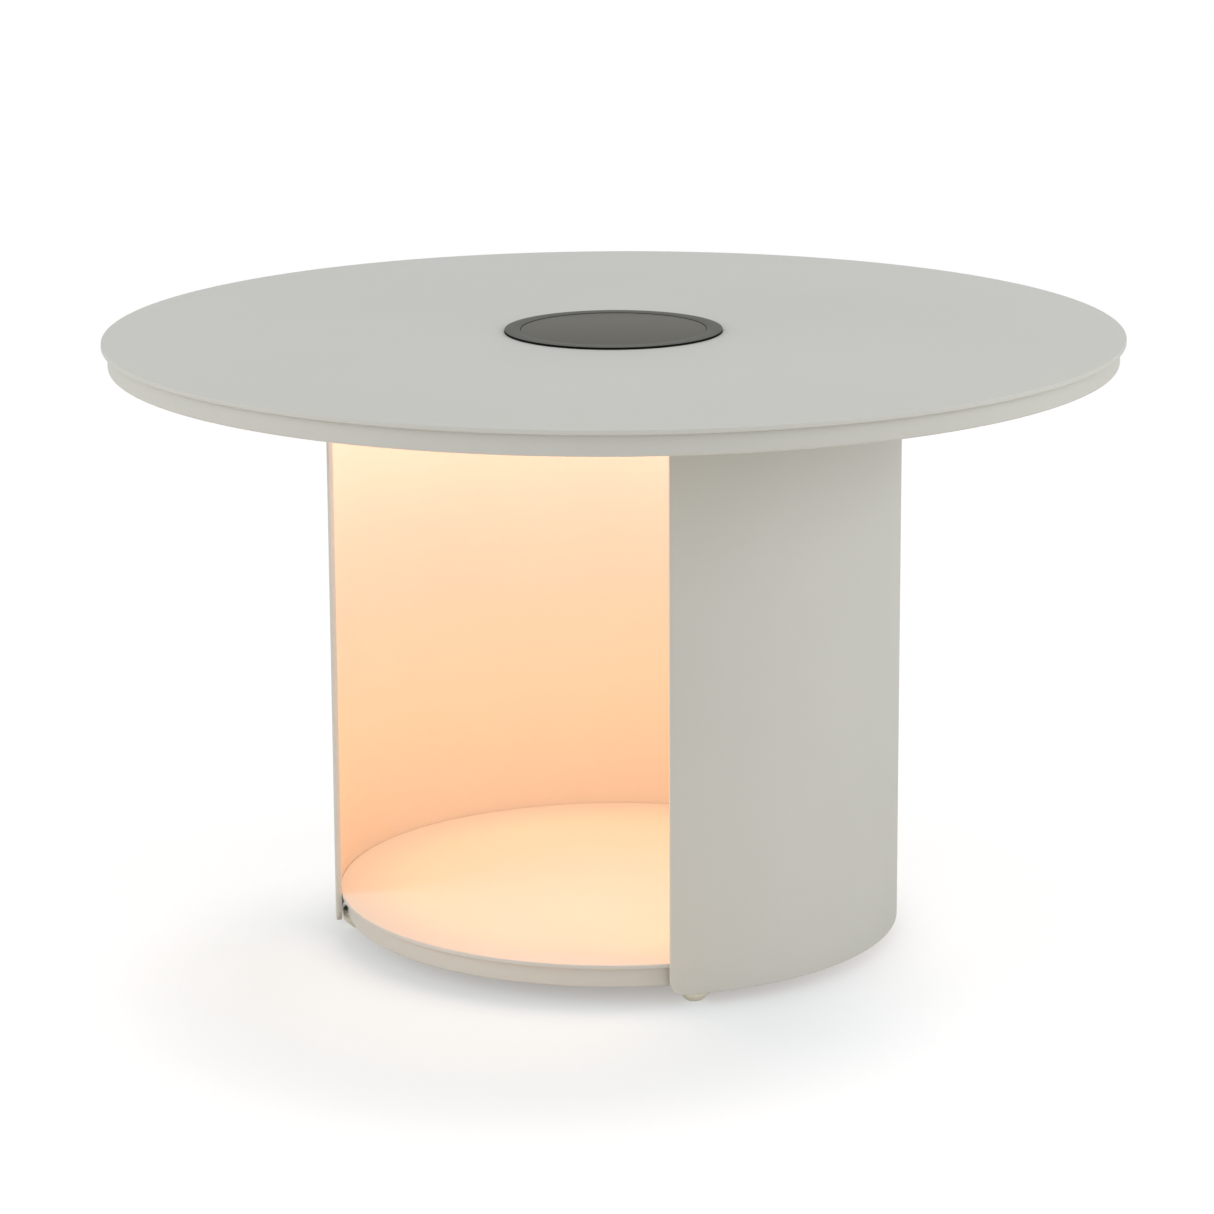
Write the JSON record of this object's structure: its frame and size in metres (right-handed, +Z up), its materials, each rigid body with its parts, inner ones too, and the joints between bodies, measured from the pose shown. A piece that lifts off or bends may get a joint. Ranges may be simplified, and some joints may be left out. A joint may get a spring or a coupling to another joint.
{
  "type": "illuminated coffee table",
  "caption": "Round metal coffee table on a drum-shaped pedestal that is open at one side and lit from inside by a lift-out lamp set in the middle of its top.",
  "frame": {"origin": "on the ground under the centre of the table", "axes": "+Z up; the pedestal's opening faces -Y; +X to the right of someone who looks into the opening"},
  "size_m": [0.75, 0.75, 0.4556],
  "materials": {
    "powder_coat": "warm off-white powder coat, fine matte texture",
    "hidden_steel": "plain sheet steel",
    "screw_steel": "zinc plated steel",
    "foot_plastic": "pale moulded plastic",
    "bezel_black": "smooth black plastic, satin",
    "dark_glass": "black backed glass, polished",
    "cell_wafer": "dark laminated cell sheet",
    "seal_rubber": "black, matte",
    "housing_plastic": "off-white moulded plastic",
    "battery_sleeve": "blue shrink sleeve",
    "circuit_board": "green solder mask",
    "opal_diffuser": "opal, lit warm white",
    "lead_sleeve": "soft red sleeve"
  },
  "bodies": {
    "table": {"top_panel": "powder_coat", "top_tray": "powder_coat", "head_plate": "powder_coat", "drum_wall": "powder_coat", "floor_panel": "powder_coat", "base_tray": "powder_coat", "upper_bracket_1": "powder_coat", "upper_bracket_2": "powder_coat", "upper_bracket_3": "powder_coat", "upper_bracket_4": "powder_coat", "lower_bracket_1": "powder_coat", "lower_bracket_2": "powder_coat", "lower_bracket_3": "powder_coat", "lower_bracket_4": "powder_coat", "top_rib_1": "hidden_steel", "top_rib_2": "hidden_steel", "top_rib_3": "hidden_steel", "top_rib_4": "hidden_steel", "module_collar": "hidden_steel", "upper_screw_1": "screw_steel", "upper_screw_2": "screw_steel", "upper_screw_3": "screw_steel", "upper_screw_4": "screw_steel", "lower_screw_1": "screw_steel", "lower_screw_2": "screw_steel", "lower_screw_3": "screw_steel", "lower_screw_4": "screw_steel"},
    "light_module": {"module_bezel": "bezel_black", "module_seal": "seal_rubber", "module_glass": "dark_glass", "charging_cell": "cell_wafer", "module_housing": "housing_plastic", "light_diffuser": "opal_diffuser", "led_board": "circuit_board", "driver_board": "circuit_board", "battery_holder": "seal_rubber", "battery_cell_1": "battery_sleeve", "battery_cell_2": "battery_sleeve", "battery_cell_3": "battery_sleeve", "power_switch": "seal_rubber", "button_spring": "screw_steel", "charge_socket": "screw_steel", "module_screw_1": "screw_steel", "module_screw_2": "screw_steel", "module_screw_3": "screw_steel", "battery_lead": "lead_sleeve", "led_lead": "lead_sleeve"},
    "push_button": {"power_button": "bezel_black"},
    "levelling_foot_1": {"foot_1": "foot_plastic", "foot_stud_1": "screw_steel"},
    "levelling_foot_2": {"foot_2": "foot_plastic", "foot_stud_2": "screw_steel"},
    "levelling_foot_3": {"foot_3": "foot_plastic", "foot_stud_3": "screw_steel"},
    "levelling_foot_4": {"foot_4": "foot_plastic", "foot_stud_4": "screw_steel"}
  },
  "joints": [
    {"name": "module_lift", "type": "slide", "parent": "table", "child": "light_module", "axis": [0, 0, 1], "range_m": [0, 0.065]},
    {"name": "button_press", "type": "slide", "parent": "light_module", "child": "push_button", "axis": [0, 0, 1], "range_m": [0, 0.0015], "stiffness_N_per_m": 800, "springref_m": -0.0015, "deforming": ["button_spring"]},
    {"name": "foot_turn_1", "type": "hinge", "parent": "table", "child": "levelling_foot_1", "pos_m": [-0.15314, -0.12072, 0], "axis": [0, 0, 1], "range_deg": [0, 1440]},
    {"name": "foot_turn_2", "type": "hinge", "parent": "table", "child": "levelling_foot_2", "pos_m": [0.15314, -0.12072, 0], "axis": [0, 0, 1], "range_deg": [0, 1440]},
    {"name": "foot_turn_3", "type": "hinge", "parent": "table", "child": "levelling_foot_3", "pos_m": [0.15314, 0.12072, 0], "axis": [0, 0, 1], "range_deg": [0, 1440]},
    {"name": "foot_turn_4", "type": "hinge", "parent": "table", "child": "levelling_foot_4", "pos_m": [-0.15314, 0.12072, 0], "axis": [0, 0, 1], "range_deg": [0, 1440]}
  ]
}
